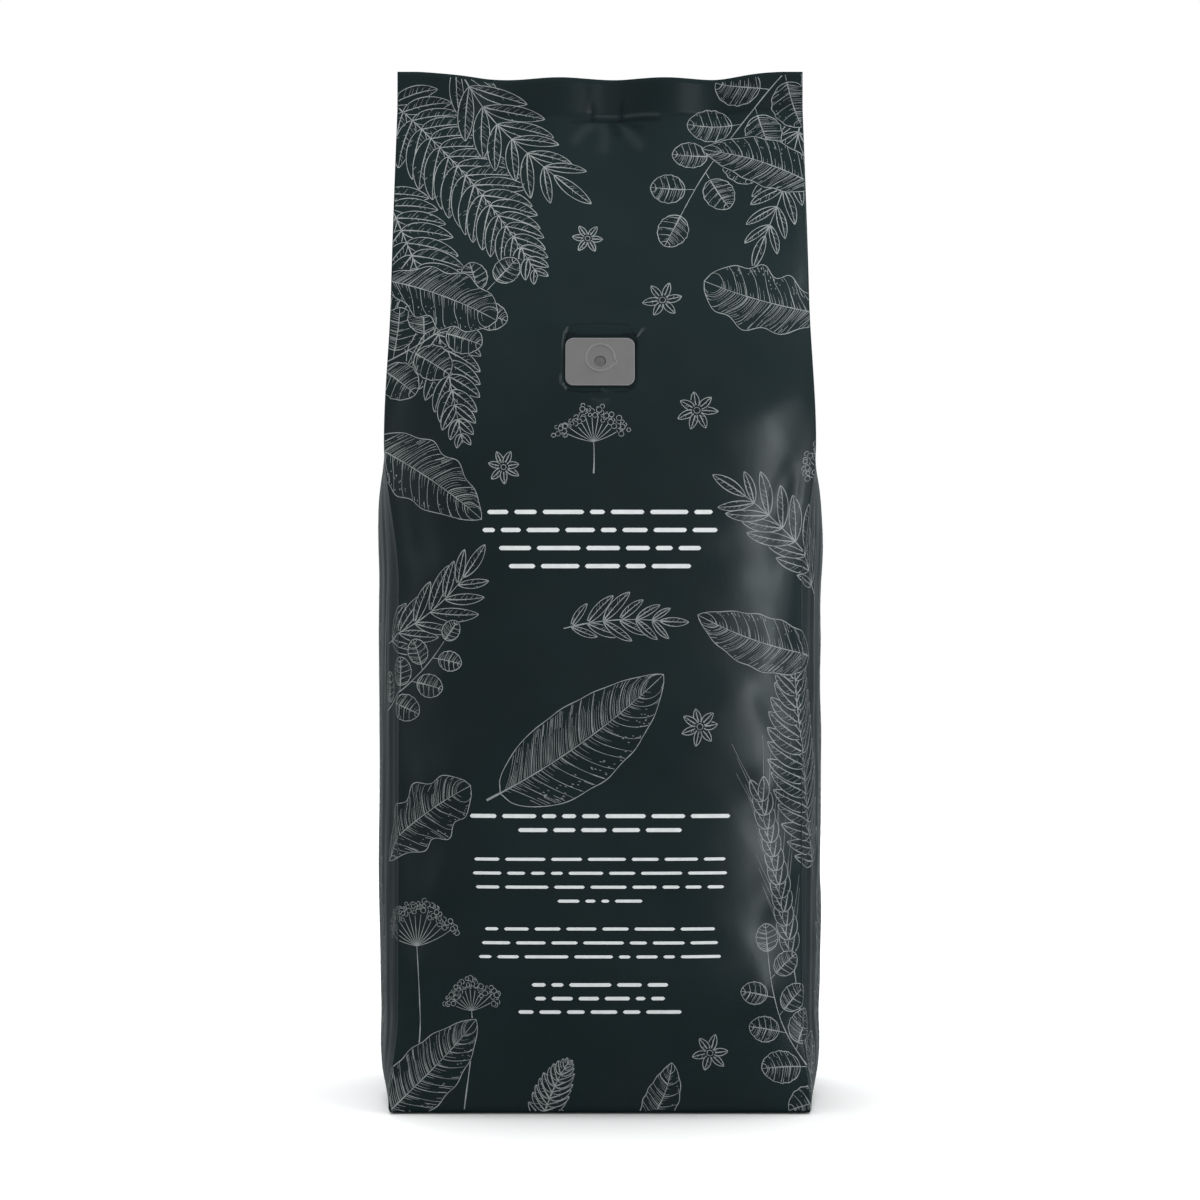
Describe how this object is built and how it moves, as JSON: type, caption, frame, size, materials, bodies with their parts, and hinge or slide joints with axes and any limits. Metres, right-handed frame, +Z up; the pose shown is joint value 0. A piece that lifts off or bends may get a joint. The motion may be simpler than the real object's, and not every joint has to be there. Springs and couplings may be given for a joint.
{
  "type": "coffee bag",
  "caption": "Filled side-gusset coffee bag, heat-sealed shut, in dark satin film with line-art foliage and a grey degassing valve patch",
  "frame": {"origin": "centre of the foot, on the surface that the bag stands on", "axes": "+Z up the bag to its sealed edge, -Y out of the face with the valve, +X to the right of that face"},
  "size_m": [0.1488, 0.107, 0.34],
  "materials": {
    "film": "matt laminated film with a satin sheen",
    "print_grey": "thin matt grey ink lines on the film",
    "print_white": "matt white ink on the film",
    "valve_patch": "matt moulded plastic",
    "valve_vent": "matt moulded plastic"
  },
  "bodies": {
    "root": {"bag": "film", "valve_patch": "valve_patch", "valve_vent": "valve_vent"}
  },
  "joints": []
}
